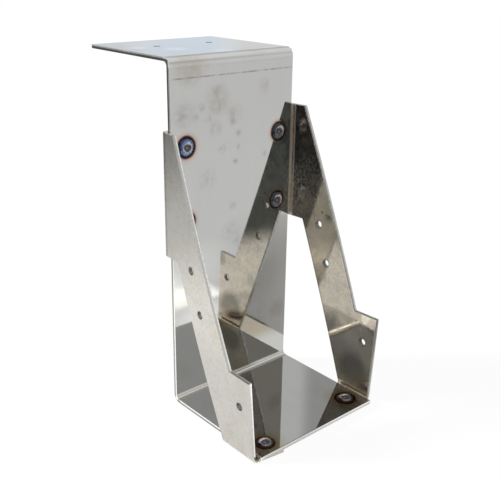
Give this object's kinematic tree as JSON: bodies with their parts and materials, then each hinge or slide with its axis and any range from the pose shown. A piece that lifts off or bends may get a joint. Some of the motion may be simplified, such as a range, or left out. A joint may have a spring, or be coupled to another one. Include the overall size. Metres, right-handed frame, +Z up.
{
  "type": "joist hanger",
  "caption": "Welded joist hanger in stainless sheet: a folded strap with a top flange and a seat, between two side gussets with nail holes.",
  "frame": {"origin": "the middle of the line in which the seat's top plane and the back plate's front plane cross, where the joist's lower corner sits", "axes": "+Z up the back plate, -Y forward along the seat and the joist, +Y back over the wall, +X to the right as seen from the joist's side"},
  "size_m": [0.1154, 0.174, 0.2325],
  "materials": {
    "stainless": "bright cold-rolled stainless sheet",
    "weld_metal": "heat-tinted weld"
  },
  "bodies": {
    "root": {"strap": "stainless", "gusset_left": "stainless", "gusset_right": "stainless", "weld_back_left_upper": "weld_metal", "weld_back_left_lower": "weld_metal", "weld_back_right_upper": "weld_metal", "weld_back_right_lower": "weld_metal", "weld_seat_left": "weld_metal", "weld_seat_right": "weld_metal"}
  },
  "joints": []
}
